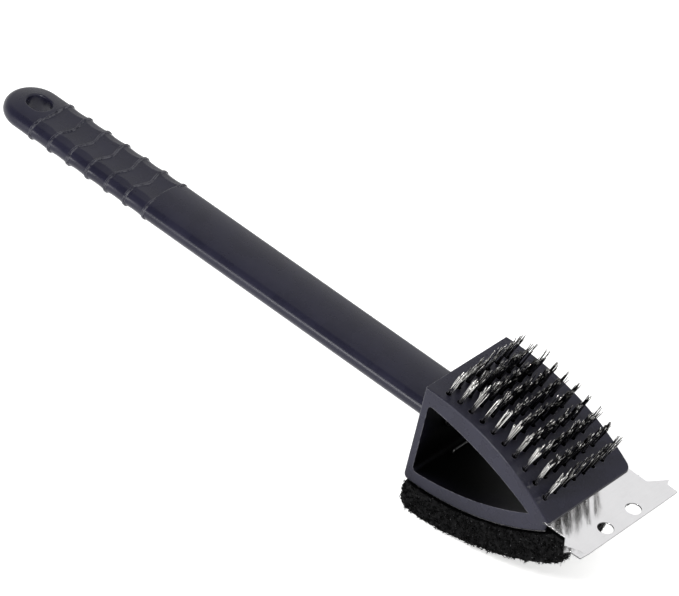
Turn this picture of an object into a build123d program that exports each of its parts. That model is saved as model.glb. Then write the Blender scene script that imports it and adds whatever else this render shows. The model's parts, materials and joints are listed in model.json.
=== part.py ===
from build123d import *
import math
import os

# Three-sided grill cleaning brush. Millimetres, +Z up.
# +X runs along the handle to the scraper edge, and the bristles point up.
# The origin is under the middle of the brush, at the level of the pad's lowest point.

# ---- driving dimensions: head ----
HEAD_WIDTH = 68.0             # across the rear wall
HEAD_FLARE = 1.5              # how much further out each side stands at the nose
HEAD_LENGTH = 92.5            # rear wall to nose
HEAD_HEIGHT = 62.8            # height of the rear wall
NOSE_TOP = 34.7               # height of the nose's upper edge over the rear wall's foot
NOSE_BOTTOM = 29.6            # height of the nose's lower edge
TOP_SAG = 8.4                 # crown of the bristle face over its chord
BOTTOM_SAG = 7.7              # crown of the pad face over its chord
HOLLOW_REAR = 4.4             # thickness of the rear wall
HOLLOW_TIP = (79.5, 32.6)
HOLLOW_TOP = 53.6
HOLLOW_BOTTOM = 7.6
HOLLOW_TOP_SAG = 3.6
HOLLOW_BOTTOM_SAG = 4.8
HOLLOW_ROUND = 2.6
REAR_FOOT_ROUND = 3.0
NOSE_CORNER_ROUND = 3.0
EDGE_ROUND = 0.7

# ---- driving dimensions: wire tufts ----
ROWS = 10
COLUMNS = 7
FIRST_ROW = 10.8              # from the rear wall to the row's holes
LAST_ROW = 82.4
COLUMN_PITCH = 8.15
FIELD_SHIFT = -3.5            # the field sits off the head's middle line
TUFT_LEAN = 19.0              # degrees forward of upright
TUFT_LENGTH = 24.5            # outside the head
TUFT_HOLE_DEPTH = 6.5
TUFT_HOLE_RADIUS = 1.6
TUFT_ROOT_RADIUS = 1.55
TUFT_TIP_RADIUS = 2.9
ANCHOR_LENGTH = 3.0
ANCHOR_WIDTH = 1.6
ANCHOR_THICKNESS = 0.4
ANCHOR_LIFT = 1.0             # above the floor of the hole

# ---- driving dimensions: scraper blade ----
BLADE_THICKNESS = 0.8
BLADE_TOP = 33.7              # height of its upper face over the rear wall's foot
BLADE_HALF_WIDTH = 35.2
BLADE_REACH = 27.3            # nose to cutting edge
BLADE_SEAT = 10.0             # length of its tongue, held in the nose
TONGUE_HALF_WIDTH = 29.0
NECK_LENGTH = 11.5            # straight side outside the nose
BARB_FORWARD = 18.7           # nose to the barb's point
BARB_HALF_WIDTH = 45.6
NOTCH_FORWARD = 20.2
EDGE_HALF_WIDTH = 42.2
NOTCH_ROUND = 1.6
BLADE_HOLE_RADIUS = 4.5
BLADE_HOLE_SPACING = 24.0
BLADE_HOLE_SETBACK = 6.8      # from the cutting edge

# ---- driving dimensions: scouring pad ----
GLUE_THICKNESS = 0.6
PAD_THICKNESS = 18.0
PAD_OVERHANG = 1.5            # past each side of the head
PAD_FRONT = 107.0             # front end of the pad, from the rear wall
PAD_SLANT = 5.5               # how much shorter the pad is on its far side
PAD_REAR = 1.0
PAD_ROUND = 7.0
PAD_BLADE_GAP = 0.4

# ---- driving dimensions: handle ----
HANDLE_LENGTH = 330.7         # rear wall to the rounded end
HANDLE_HEIGHT = 31.2          # axis over the rear wall's foot
SIDE_CENTRE = 12.4
SIDE_RADIUS = 5.4
CROWN_HEIGHT = 7.3
RIB_COUNT = 7
RIB_PITCH = 14.5
FIRST_RIB = 300.2             # furthest rib, from the rear wall
RIB_HEIGHT = 0.6
RIB_WIDTH = 1.2
RIB_BOW = 2.4                 # how far the ribs bow towards the head
FIRST_RIB_BOW = 0.6
RIB_BOW_HALF = 12.0
WAIST_DEPTH = 0.45            # the grip narrows between ribs
DISH_HALF_WIDTH = 11.0
DISH_DEPTH = 1.8
HANG_SLOT_LENGTH = 15.6
HANG_SLOT_WIDTH = 12.8
HANG_SLOT_INSET = 20.5        # its centre, from the rounded end
HANG_ROUND = 1.0              # rims of the hang slot
SPIGOT_LENGTH = 2.4
SPIGOT_INSET = 3.0

# ---- driving dimensions: fasteners ----
SCREW_RADIUS = 2.0
SCREW_HEAD_RADIUS = 3.8
SCREW_HEAD_HEIGHT = 2.2
SCREW_BITE = 22.0
RECESS_LENGTH = 3.8           # cross recess in each screw head
RECESS_WIDTH = 0.9
RECESS_DEPTH = 1.2
HANDLE_SCREW_SPACING = 16.0
WASHER_RADIUS = 5.0
WASHER_THICKNESS = 1.0
BLADE_SCREW_RADIUS = 1.5
BLADE_SCREW_HEAD_RADIUS = 2.8
BLADE_SCREW_HEAD_HEIGHT = 1.7
BLADE_SCREW_SETBACK = 6.0     # behind the nose
BLADE_SCREW_SPACING = 44.0
BLADE_SCREW_TOP = 36.4
COUNTERBORE_RADIUS = 3.1
COUNTERBORE_TOP = 29.9
STAPLE_WIRE = 0.7             # wire radius
STAPLE_CROWN = 11.0
STAPLE_LEG = 18.0
STAPLE_BEND = 1.3             # radius of its two corners
STAPLE_PLACES = (9.5, 58.0)   # from the rear wall
CLEARANCE = 0.05
CUT_PAST = 1.5

# ---- places worked out from the above ----
TOTAL_LENGTH = HANDLE_LENGTH + HEAD_LENGTH + BLADE_REACH
REAR_X = HANDLE_LENGTH - TOTAL_LENGTH / 2
FLARE_SLOPE = HEAD_FLARE / HEAD_LENGTH


def arc_circle(start, end, sagitta):
    """Centre and radius of the arc over a chord, bulging to the left of start-to-end."""
    dx = end[0] - start[0]
    dy = end[1] - start[1]
    chord = math.hypot(dx, dy)
    radius = (chord**2 / 8 + sagitta**2 / 2) / abs(sagitta)
    reach = (radius - abs(sagitta)) * math.copysign(1, -sagitta)
    mid_x = (start[0] + end[0]) / 2 - dy / chord * reach
    mid_y = (start[1] + end[1]) / 2 + dx / chord * reach
    return mid_x, mid_y, radius


TOP_X, TOP_Z, TOP_R = arc_circle((0, HEAD_HEIGHT), (HEAD_LENGTH, NOSE_TOP), TOP_SAG)
FOOT_X, FOOT_Z, FOOT_R = arc_circle((0, 0), (HEAD_LENGTH, NOSE_BOTTOM), -BOTTOM_SAG)

# Crown and dish arcs of the handle's section.
CROWN_R = (SIDE_CENTRE**2 + CROWN_HEIGHT**2 - SIDE_RADIUS**2) / (2 * (CROWN_HEIGHT - SIDE_RADIUS))
DISH_R = DISH_HALF_WIDTH**2 / 2 / (DISH_DEPTH - DISH_HALF_WIDTH**2 / (2 * CROWN_R))
GRIP_START = FIRST_RIB - (RIB_COUNT - 1) * RIB_PITCH
END_CENTRE = HANDLE_LENGTH - SIDE_CENTRE - SIDE_RADIUS

# The pad's lowest point is on the round of its rear lower edge.
PAD_OUTER_R = FOOT_R + GLUE_THICKNESS + PAD_THICKNESS
ROUND_X = PAD_REAR + PAD_ROUND
ROUND_Z = FOOT_Z - math.sqrt((PAD_OUTER_R - PAD_ROUND) ** 2 - (ROUND_X - FOOT_X) ** 2)
FOOT_LIFT = PAD_ROUND - ROUND_Z


def side_plane(y=0.0):
    """Upright plane along the brush, measured from the foot of the rear wall."""
    return Plane(origin=(REAR_X, y, FOOT_LIFT), x_dir=(1, 0, 0), z_dir=(0, -1, 0))


def plan_plane(height=0.0):
    """Level plane at a height over the foot of the rear wall."""
    return Plane(origin=(REAR_X, 0, FOOT_LIFT + height), x_dir=(1, 0, 0), z_dir=(0, 0, 1))


def cross_plane(forward):
    """Plane across the brush on the handle's axis, facing the scraper."""
    origin = (REAR_X + forward, 0, FOOT_LIFT + HANDLE_HEIGHT)
    return Plane(origin=origin, x_dir=(0, 1, 0), z_dir=(1, 0, 0))


def top_height(forward):
    """Height of the bristle face over the rear wall's foot."""
    return TOP_Z + math.sqrt(TOP_R**2 - (forward - TOP_X) ** 2)


def foot_height(forward, depth=0.0):
    """Height of the pad face, or of a layer at a depth under it."""
    return FOOT_Z - math.sqrt((FOOT_R + depth) ** 2 - (forward - FOOT_X) ** 2)


def tuft_planes(row):
    """Planes at one row's hole mouths, facing along the wires."""
    forward = FIRST_ROW + (LAST_ROW - FIRST_ROW) * row / (ROWS - 1)
    lean = math.radians(TUFT_LEAN)
    planes = []
    for column in range(COLUMNS):
        y = FIELD_SHIFT + (column - (COLUMNS - 1) / 2) * COLUMN_PITCH
        origin = (REAR_X + forward, y, FOOT_LIFT + top_height(forward))
        planes.append(Plane(origin=origin, x_dir=(0, 1, 0), z_dir=(math.sin(lean), 0, math.cos(lean))))
    return planes


def plan_outline(margin, front, slant=0.0):
    """Corners of the head's tapering plan, let out by a margin, to a front end that may slant."""
    rear = HEAD_WIDTH / 2 + margin
    wide = rear + FLARE_SLOPE * front
    return [(0, -rear), (front, -wide), (front - slant, wide), (0, rear)]


def handle_section(forward, grow=0.0, half=False):
    """Crowned section of the handle on a cross plane, grown or shrunk all round."""
    crown = CROWN_HEIGHT + grow
    side = SIDE_RADIUS + grow
    across = SIDE_CENTRE / (CROWN_R - SIDE_RADIUS)
    tangent = (SIDE_CENTRE + side * across, side * math.sqrt(1 - across**2))
    with BuildSketch(cross_plane(forward)) as section:
        with BuildLine():
            ThreePointArc((-tangent[0], tangent[1]), (0, crown), tangent)
            ThreePointArc(tangent, (SIDE_CENTRE + side, 0), (tangent[0], -tangent[1]))
            ThreePointArc((tangent[0], -tangent[1]), (0, -crown), (-tangent[0], -tangent[1]))
            ThreePointArc((-tangent[0], -tangent[1]), (-SIDE_CENTRE - side, 0), (-tangent[0], tangent[1]))
        make_face()
        if half:
            split(bisect_by=Plane.YZ, keep=Keep.TOP)
    return section.sketch


def dish_section(forward, side, lift=0.0):
    """Round cutter that dishes the grip's upper (1) or lower (-1) face."""
    middle = CROWN_HEIGHT - DISH_DEPTH + lift + DISH_R
    with BuildSketch(cross_plane(forward)) as section:
        with Locations((0, side * middle)):
            Circle(DISH_R)
    return section.sketch


def rib_outline(back, bow):
    """Plan of one rib: a narrow band that bows towards the head in its middle."""
    edge = SIDE_CENTRE + SIDE_RADIUS + 2 * RIB_HEIGHT
    with BuildSketch(plan_plane()) as outline:
        with BuildLine():
            sides = []
            for x in (-back, -back + RIB_WIDTH):
                points = [(x, -RIB_BOW_HALF), (x + bow, 0), (x, RIB_BOW_HALF)]
                Line((x, -edge), points[0])
                Spline(*points, tangents=((0, 1), (0, 1)))
                Line(points[-1], (x, edge))
                sides.append(x)
            Line((sides[0], -edge), (sides[1], -edge))
            Line((sides[0], edge), (sides[1], edge))
        make_face()
    return outline.sketch


def nose_plane(height):
    """Level plane at a height, centred over the blade's screws."""
    origin = (REAR_X + HEAD_LENGTH - BLADE_SCREW_SETBACK, 0, FOOT_LIFT + height)
    return Plane(origin=origin, x_dir=(1, 0, 0), z_dir=(0, 0, 1))


def floor_height(forward):
    """Height of the hollow's floor over the rear wall's foot."""
    x, z, radius = arc_circle(HOLLOW_TIP, (HOLLOW_REAR, HOLLOW_BOTTOM), HOLLOW_BOTTOM_SAG)
    return z - math.sqrt(radius**2 - (forward - x) ** 2)


def staple_plane(place):
    """Level plane where a staple's crown rests on the hollow's floor."""
    origin = (REAR_X + place, 0, FOOT_LIFT + floor_height(place) + STAPLE_BEND + STAPLE_WIRE / 2)
    return Plane(origin=origin, x_dir=(1, 0, 0), z_dir=(0, 0, 1))


def corners_at(sketch, points):
    """Corners of a sketch that stand at the given points of its own plane."""
    return [v for v in sketch.vertices() if any(math.dist((v.X, v.Y), p) < CLEARANCE for p in points)]


def circle_pair(plane, spacing, radius):
    """Two circles on a plane, spaced evenly about the brush's middle plane."""
    along_x = plane.x_dir.Y != 0
    with BuildSketch(plane) as pair:
        for side in (-spacing / 2, spacing / 2):
            with Locations((side, 0) if along_x else (0, side)):
                Circle(radius)
    return pair.sketch


def cross_pair(plane, spacing):
    """Two cross recesses on a plane, where circle_pair puts its circles."""
    along_x = plane.x_dir.Y != 0
    with BuildSketch(plane) as pair:
        for side in (-spacing / 2, spacing / 2):
            with Locations((side, 0) if along_x else (0, side)):
                Rectangle(RECESS_LENGTH, RECESS_WIDTH)
                Rectangle(RECESS_WIDTH, RECESS_LENGTH)
    return pair.sketch


os.makedirs("parts", exist_ok=True)

# ---- head shell: a three-sided frame, open from side to side ----
with BuildPart() as head_shell:
    with BuildSketch(side_plane()):
        with BuildLine():
            Line((0, 0), (0, HEAD_HEIGHT))
            SagittaArc((0, HEAD_HEIGHT), (HEAD_LENGTH, NOSE_TOP), TOP_SAG)
            Line((HEAD_LENGTH, NOSE_TOP), (HEAD_LENGTH, NOSE_BOTTOM))
            SagittaArc((HEAD_LENGTH, NOSE_BOTTOM), (0, 0), BOTTOM_SAG)
        make_face()
    extrude(amount=HEAD_WIDTH, both=True)
    with BuildSketch(plan_plane(-CUT_PAST)):
        with BuildLine():
            Polyline(*plan_outline(0, HEAD_LENGTH), close=True)
        make_face()
    extrude(amount=HEAD_HEIGHT + 2 * CUT_PAST, mode=Mode.INTERSECT)
    nose_corners = head_shell.edges().filter_by(Axis.Z).group_by(Axis.X)[-1]
    fillet(nose_corners, NOSE_CORNER_ROUND)
    rear_foot = head_shell.edges().filter_by(Axis.Y).group_by(Axis.X)[0].sort_by(Axis.Z)[0]
    fillet(rear_foot, REAR_FOOT_ROUND)
    side_faces = head_shell.faces().filter_by(lambda face: abs(face.normal_at().Y) > 0.99)
    fillet(side_faces.edges().filter_by(lambda edge: edge.length > 2 * NOSE_CORNER_ROUND), EDGE_ROUND)
    with BuildSketch(side_plane()) as hollow:
        with BuildLine():
            Line((HOLLOW_REAR, HOLLOW_BOTTOM), (HOLLOW_REAR, HOLLOW_TOP))
            SagittaArc((HOLLOW_REAR, HOLLOW_TOP), HOLLOW_TIP, HOLLOW_TOP_SAG)
            SagittaArc(HOLLOW_TIP, (HOLLOW_REAR, HOLLOW_BOTTOM), HOLLOW_BOTTOM_SAG)
        make_face()
        fillet(hollow.vertices().group_by(Axis.X)[0], HOLLOW_ROUND)
    extrude(amount=HEAD_WIDTH, both=True, mode=Mode.SUBTRACT)
    with BuildSketch(plan_plane(BLADE_TOP - BLADE_THICKNESS)):
        for depth, width in ((BLADE_SEAT, 2 * TONGUE_HALF_WIDTH), (NOSE_CORNER_ROUND, 2 * HEAD_WIDTH)):
            with Locations((HEAD_LENGTH - depth / 2 + CUT_PAST / 2, 0)):
                Rectangle(depth + CUT_PAST, width)
    extrude(amount=BLADE_THICKNESS, mode=Mode.SUBTRACT)
    for row in range(ROWS):
        with Locations(*[plane.offset(CUT_PAST) for plane in tuft_planes(row)]):
            Hole(TUFT_HOLE_RADIUS, depth=TUFT_HOLE_DEPTH + CUT_PAST)
    extrude(handle_section(0, -SPIGOT_INSET), amount=SPIGOT_LENGTH, mode=Mode.SUBTRACT)
    screw_holes = circle_pair(cross_plane(0), HANDLE_SCREW_SPACING, SCREW_RADIUS)
    extrude(screw_holes, amount=HOLLOW_REAR + CUT_PAST, mode=Mode.SUBTRACT)
    bores = circle_pair(nose_plane(COUNTERBORE_TOP), BLADE_SCREW_SPACING, COUNTERBORE_RADIUS)
    extrude(bores, amount=-COUNTERBORE_TOP, mode=Mode.SUBTRACT)
    pilots = circle_pair(nose_plane(COUNTERBORE_TOP), BLADE_SCREW_SPACING, BLADE_SCREW_RADIUS)
    extrude(pilots, amount=BLADE_SCREW_TOP - COUNTERBORE_TOP, mode=Mode.SUBTRACT)
    for place in STAPLE_PLACES:
        legs = circle_pair(staple_plane(place), STAPLE_CROWN, STAPLE_WIRE)
        extrude(legs, amount=-STAPLE_LEG, mode=Mode.SUBTRACT)
head_shell.part.label = "head_shell"

# ---- ribs of the grip: bands that stand a little proud all round ----
with BuildPart() as grip_ribs:
    extrude(handle_section(-FIRST_RIB - RIB_PITCH / 2, RIB_HEIGHT), amount=RIB_COUNT * RIB_PITCH)
    for side in (1, -1):
        cutter = dish_section(-FIRST_RIB - RIB_PITCH / 2, side, RIB_HEIGHT)
        extrude(cutter, amount=RIB_COUNT * RIB_PITCH, mode=Mode.SUBTRACT)
    bands = Sketch()
    for rib in range(RIB_COUNT):
        bow = FIRST_RIB_BOW if rib == 0 else RIB_BOW
        bands += rib_outline(FIRST_RIB - rib * RIB_PITCH, bow)
    extrude(bands, amount=HEAD_HEIGHT, mode=Mode.INTERSECT)

# ---- handle: crowned bar with a ribbed, dished grip and a hang slot ----
with BuildPart() as handle:
    extrude(handle_section(0), amount=-GRIP_START)
    for gap in range(RIB_COUNT - 1):
        near = -GRIP_START - gap * RIB_PITCH
        middle = handle_section(near - RIB_PITCH / 2, -WAIST_DEPTH)
        loft([handle_section(near), middle, handle_section(near - RIB_PITCH)])
    extrude(handle_section(-FIRST_RIB), amount=FIRST_RIB - END_CENTRE)
    end_axis = Axis((REAR_X - END_CENTRE, 0, 0), (0, 0, 1))
    revolve(handle_section(-END_CENTRE, half=True), axis=end_axis, revolution_arc=180)
    for side in (1, -1):
        grip_length = FIRST_RIB - GRIP_START - RIB_WIDTH
        extrude(dish_section(-GRIP_START, side), amount=-grip_length, mode=Mode.SUBTRACT)
    with BuildSketch(plan_plane(0)):
        with Locations((HANG_SLOT_INSET - HANDLE_LENGTH, 0)):
            SlotOverall(HANG_SLOT_LENGTH, HANG_SLOT_WIDTH)
    extrude(amount=HEAD_HEIGHT, mode=Mode.SUBTRACT)
    slot_wall = handle.faces(Select.LAST).filter_by(lambda face: abs(face.normal_at().Z) < CLEARANCE)
    slot_rims = slot_wall.edges().filter_by(lambda edge: abs(edge.tangent_at(0.5).Z) < CLEARANCE * 4)
    fillet(slot_rims, HANG_ROUND)
    add(grip_ribs.part)
    extrude(handle_section(0, -SPIGOT_INSET), amount=SPIGOT_LENGTH)
    pilot_holes = circle_pair(cross_plane(SPIGOT_LENGTH), HANDLE_SCREW_SPACING, SCREW_RADIUS)
    extrude(pilot_holes, amount=-SCREW_BITE, mode=Mode.SUBTRACT)
handle.part.label = "handle"

# ---- wire tufts: one bundle in each hole, folded round its anchor ----
def tuft_anchor_box(plane, length, slack=0.0):
    """Flat wire that lies across a hole near its floor."""
    middle = -TUFT_HOLE_DEPTH + ANCHOR_LIFT + ANCHOR_WIDTH / 2
    box = Box(length, ANCHOR_THICKNESS + slack, ANCHOR_WIDTH + slack, mode=Mode.PRIVATE)
    return plane.offset(middle).location * box


tuft_rows = []
for row in range(ROWS):
    with BuildPart() as tuft_row:
        for plane in tuft_planes(row):
            with BuildSketch(plane.offset(-TUFT_HOLE_DEPTH)):
                Circle(TUFT_ROOT_RADIUS)
            extrude(amount=TUFT_HOLE_DEPTH + CUT_PAST)
            with BuildSketch(plane.offset(CUT_PAST)):
                Circle(TUFT_ROOT_RADIUS)
            with BuildSketch(plane.offset(TUFT_LENGTH)):
                Circle(TUFT_TIP_RADIUS)
            loft()
            add(tuft_anchor_box(plane, 3 * TUFT_ROOT_RADIUS, CLEARANCE), mode=Mode.SUBTRACT)
    tuft_row.part.label = f"tuft_row_{row + 1:02d}"
    tuft_rows.append(tuft_row.part)

with BuildPart() as tuft_anchors:
    for row in range(ROWS):
        for plane in tuft_planes(row):
            add(tuft_anchor_box(plane, ANCHOR_LENGTH))
tuft_anchors.part.label = "tuft_anchors"

# ---- scraper blade: flat steel plate with barbed corners and two holes ----
with BuildPart() as scraper_blade:
    with BuildSketch(plan_plane(BLADE_TOP - BLADE_THICKNESS)) as blade_outline:
        edge_x = HEAD_LENGTH + BLADE_REACH
        notch_x = HEAD_LENGTH + NOTCH_FORWARD
        corners = [
            (HEAD_LENGTH - BLADE_SEAT, TONGUE_HALF_WIDTH),
            (HEAD_LENGTH - NOSE_CORNER_ROUND, TONGUE_HALF_WIDTH),
            (HEAD_LENGTH - NOSE_CORNER_ROUND, BLADE_HALF_WIDTH),
            (HEAD_LENGTH + NECK_LENGTH, BLADE_HALF_WIDTH),
            (HEAD_LENGTH + BARB_FORWARD, BARB_HALF_WIDTH),
            (notch_x, EDGE_HALF_WIDTH),
            (edge_x, EDGE_HALF_WIDTH),
        ]
        mirrored = [(x, -y) for x, y in reversed(corners)]
        with BuildLine():
            Polyline(*corners, *mirrored, close=True)
        make_face()
        notches = [(notch_x, EDGE_HALF_WIDTH), (notch_x, -EDGE_HALF_WIDTH)]
        fillet(corners_at(blade_outline, notches), NOTCH_ROUND)
        with Locations((edge_x - BLADE_HOLE_SETBACK, 0)):
            with GridLocations(1, BLADE_HOLE_SPACING, 1, 2):
                Circle(BLADE_HOLE_RADIUS, mode=Mode.SUBTRACT)
    extrude(amount=BLADE_THICKNESS)
    screw_ways = circle_pair(nose_plane(COUNTERBORE_TOP), BLADE_SCREW_SPACING, BLADE_SCREW_RADIUS)
    extrude(screw_ways, amount=BLADE_SCREW_TOP - COUNTERBORE_TOP, mode=Mode.SUBTRACT)
scraper_blade.part.label = "scraper_blade"

with BuildPart() as blade_screws:
    shanks = circle_pair(nose_plane(COUNTERBORE_TOP), BLADE_SCREW_SPACING, BLADE_SCREW_RADIUS)
    extrude(shanks, amount=BLADE_SCREW_TOP - COUNTERBORE_TOP)
    heads = circle_pair(nose_plane(COUNTERBORE_TOP), BLADE_SCREW_SPACING, BLADE_SCREW_HEAD_RADIUS)
    extrude(heads, amount=-BLADE_SCREW_HEAD_HEIGHT)
    recesses = cross_pair(nose_plane(COUNTERBORE_TOP - BLADE_SCREW_HEAD_HEIGHT), BLADE_SCREW_SPACING)
    extrude(recesses, amount=RECESS_DEPTH, mode=Mode.SUBTRACT)
blade_screws.part.label = "blade_screws"

# ---- handle screws: through the rear wall from inside the hollow ----
with BuildPart() as handle_washers:
    rings = circle_pair(cross_plane(HOLLOW_REAR), HANDLE_SCREW_SPACING, WASHER_RADIUS)
    extrude(rings, amount=WASHER_THICKNESS)
    ring_holes = circle_pair(cross_plane(HOLLOW_REAR), HANDLE_SCREW_SPACING, SCREW_RADIUS)
    extrude(ring_holes, amount=WASHER_THICKNESS, mode=Mode.SUBTRACT)
handle_washers.part.label = "handle_washers"

with BuildPart() as handle_screws:
    head_seat = HOLLOW_REAR + WASHER_THICKNESS
    shanks = circle_pair(cross_plane(head_seat), HANDLE_SCREW_SPACING, SCREW_RADIUS)
    extrude(shanks, amount=SPIGOT_LENGTH - head_seat - SCREW_BITE)
    heads = circle_pair(cross_plane(head_seat), HANDLE_SCREW_SPACING, SCREW_HEAD_RADIUS)
    extrude(heads, amount=SCREW_HEAD_HEIGHT)
    crowns = handle_screws.faces().sort_by(Axis.X)[-2:].edges()
    fillet(crowns, SCREW_HEAD_HEIGHT / 3)
    recesses = cross_pair(cross_plane(head_seat + SCREW_HEAD_HEIGHT), HANDLE_SCREW_SPACING)
    extrude(recesses, amount=-RECESS_DEPTH, mode=Mode.SUBTRACT)
handle_screws.part.label = "handle_screws"

# ---- pad adhesive: a thin layer on the pad face ----
def layer_profile(depth_in, depth_out, rear, front):
    """Side outline of a layer that follows the pad face between two depths."""
    near = (foot_height(rear, depth_in), foot_height(front, depth_in))
    far = (foot_height(rear, depth_out), foot_height(front, depth_out))
    middle = (rear + front) / 2
    with BuildSketch(side_plane()) as profile:
        with BuildLine():
            ThreePointArc((rear, near[0]), (middle, foot_height(middle, depth_in)), (front, near[1]))
            Line((front, near[1]), (front, far[1]))
            ThreePointArc((front, far[1]), (middle, foot_height(middle, depth_out)), (rear, far[0]))
            Line((rear, far[0]), (rear, near[0]))
        make_face()
    return profile.sketch


with BuildPart() as pad_adhesive:
    rear = REAR_FOOT_ROUND + 1
    front = HEAD_LENGTH - 1
    extrude(layer_profile(0, GLUE_THICKNESS, rear, front), amount=HEAD_WIDTH, both=True)
    with BuildSketch(plan_plane(-HEAD_HEIGHT)):
        with BuildLine():
            Polyline(*plan_outline(-1, HEAD_LENGTH), close=True)
        make_face()
    extrude(amount=2 * HEAD_HEIGHT, mode=Mode.INTERSECT)
    for place in STAPLE_PLACES:
        legs = circle_pair(staple_plane(place), STAPLE_CROWN, STAPLE_WIRE)
        extrude(legs, amount=-STAPLE_LEG, mode=Mode.SUBTRACT)
    ways = circle_pair(nose_plane(COUNTERBORE_TOP), BLADE_SCREW_SPACING, COUNTERBORE_RADIUS)
    extrude(ways, amount=-COUNTERBORE_TOP, mode=Mode.SUBTRACT)
pad_adhesive.part.label = "pad_adhesive"

# ---- scouring pad: a thick block that follows the pad face and runs on under the blade ----
with BuildPart() as scouring_pad:
    with BuildSketch(side_plane()) as pad_side:
        under_blade = BLADE_TOP - BLADE_THICKNESS - PAD_BLADE_GAP
        reach_x = FOOT_X + math.sqrt((FOOT_R + GLUE_THICKNESS) ** 2 - (FOOT_Z - under_blade) ** 2)
        rear_z = foot_height(PAD_REAR, GLUE_THICKNESS)
        low_z = foot_height(PAD_REAR, GLUE_THICKNESS + PAD_THICKNESS)
        front_z = foot_height(PAD_FRONT, GLUE_THICKNESS + PAD_THICKNESS)
        half = reach_x / 2
        with BuildLine():
            high_half = foot_height(half, GLUE_THICKNESS)
            ThreePointArc((PAD_REAR, rear_z), (half, high_half), (reach_x, under_blade))
            Line((reach_x, under_blade), (PAD_FRONT, under_blade))
            Line((PAD_FRONT, under_blade), (PAD_FRONT, front_z))
            low_half = foot_height(half, GLUE_THICKNESS + PAD_THICKNESS)
            ThreePointArc((PAD_FRONT, front_z), (half, low_half), (PAD_REAR, low_z))
            Line((PAD_REAR, low_z), (PAD_REAR, rear_z))
        make_face()
        fillet(corners_at(pad_side, [(PAD_REAR, low_z), (PAD_FRONT, front_z)]), PAD_ROUND)
    extrude(amount=HEAD_WIDTH, both=True)
    with BuildSketch(plan_plane(-HEAD_HEIGHT)):
        with BuildLine():
            Polyline(*plan_outline(PAD_OVERHANG, PAD_FRONT, PAD_SLANT), close=True)
        make_face()
    extrude(amount=2 * HEAD_HEIGHT, mode=Mode.INTERSECT)
    for place in STAPLE_PLACES:
        legs = circle_pair(staple_plane(place), STAPLE_CROWN, STAPLE_WIRE)
        extrude(legs, amount=-STAPLE_LEG, mode=Mode.SUBTRACT)
scouring_pad.part.label = "scouring_pad"

with BuildPart() as pad_staples:
    for place in STAPLE_PLACES:
        crown = staple_plane(place)
        end = STAPLE_CROWN / 2
        foot = crown.offset(-STAPLE_LEG)
        route = [
            foot.from_local_coords((0, -end)),
            crown.from_local_coords((0, -end)),
            crown.from_local_coords((0, end)),
            foot.from_local_coords((0, end)),
        ]
        with BuildLine() as wire:
            FilletPolyline(*route, radius=STAPLE_BEND)
        with BuildSketch(Plane(origin=route[0], z_dir=(0, 0, 1))):
            Circle(STAPLE_WIRE)
        sweep(path=wire.line)
pad_staples.part.label = "pad_staples"

PIECES = [
    handle.part,
    head_shell.part,
    *tuft_rows,
    tuft_anchors.part,
    scraper_blade.part,
    blade_screws.part,
    handle_screws.part,
    handle_washers.part,
    pad_adhesive.part,
    scouring_pad.part,
    pad_staples.part,
]
for piece in PIECES:
    export_step(piece, f"parts/{piece.label}.step")
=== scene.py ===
"""Grill cleaning brush: its visual model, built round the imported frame.

Lengths are in metres. +X runs along the handle to the scraper's edge, +Z is the bristle side.
"""

import json
import logging
import math
import random
from dataclasses import dataclass, field
from enum import Enum
from typing import Any, ClassVar, Sequence

import bmesh
import bpy
from bpy.types import ID, Material, Node, NodeSocket, NodeTree, Object
from mathutils import Matrix, Quaternion, Vector, noise


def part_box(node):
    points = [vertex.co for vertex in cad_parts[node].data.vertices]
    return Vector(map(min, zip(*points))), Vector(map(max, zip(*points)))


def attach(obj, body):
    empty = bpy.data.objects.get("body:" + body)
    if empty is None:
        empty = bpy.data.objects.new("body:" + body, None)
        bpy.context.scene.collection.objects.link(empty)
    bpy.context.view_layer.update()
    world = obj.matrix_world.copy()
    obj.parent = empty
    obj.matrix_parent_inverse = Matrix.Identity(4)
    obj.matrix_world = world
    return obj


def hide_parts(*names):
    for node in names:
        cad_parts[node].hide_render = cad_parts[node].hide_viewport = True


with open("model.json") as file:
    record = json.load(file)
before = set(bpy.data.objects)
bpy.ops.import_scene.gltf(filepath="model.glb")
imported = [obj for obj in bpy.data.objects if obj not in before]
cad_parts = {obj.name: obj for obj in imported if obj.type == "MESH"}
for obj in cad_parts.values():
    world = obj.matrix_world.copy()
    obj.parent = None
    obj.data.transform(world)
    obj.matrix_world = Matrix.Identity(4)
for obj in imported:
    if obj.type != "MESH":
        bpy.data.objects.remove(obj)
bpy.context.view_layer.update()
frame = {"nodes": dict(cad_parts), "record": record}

MM = 0.001
BODY = "root"
UP = Vector((0.0, 0.0, 1.0))
Colour = tuple[float, float, float]
Triple = tuple[float, float, float]
Pair = tuple[float, float]

log = logging.getLogger("grill_brush")


class Slot(Enum):
    """Material slots of the record."""

    PLASTIC = "moulded_plastic"
    BRISTLE = "bristle_steel"
    BLADE = "blade_steel"
    FASTENER = "fastener_steel"
    ADHESIVE = "adhesive"
    PAD = "pad_fibre"


# ---- node helpers


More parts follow.
